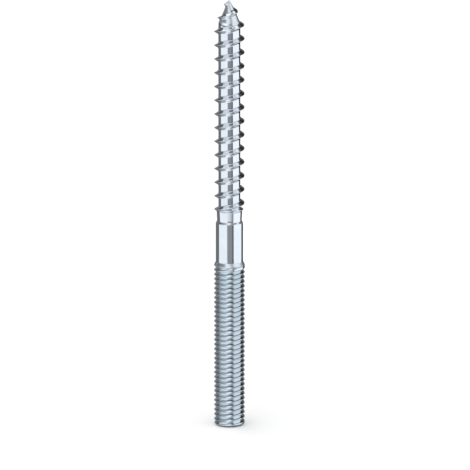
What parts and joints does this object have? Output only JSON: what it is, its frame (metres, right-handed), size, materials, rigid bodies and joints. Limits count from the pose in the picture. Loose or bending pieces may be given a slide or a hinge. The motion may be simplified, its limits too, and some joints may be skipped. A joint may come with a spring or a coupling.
{
  "type": "hanger bolt",
  "caption": "Headless steel hanger bolt: metric thread with a six-lobe recess in its flat end, plain shank, and a coarse wood thread with a gimlet point.",
  "frame": {"origin": "centre of the flat machine-thread end, on which the bolt stands", "axes": "+Z along the bolt's axis from the flat end to the point, -Y towards the camera, +X to the right"},
  "size_m": [0.008, 0.008, 0.1125],
  "materials": {
    "zinc_plated_steel": "bright zinc plating, clear blue passivated, smooth and shiny"
  },
  "bodies": {
    "root": {"hanger_bolt": "zinc_plated_steel"}
  },
  "joints": []
}
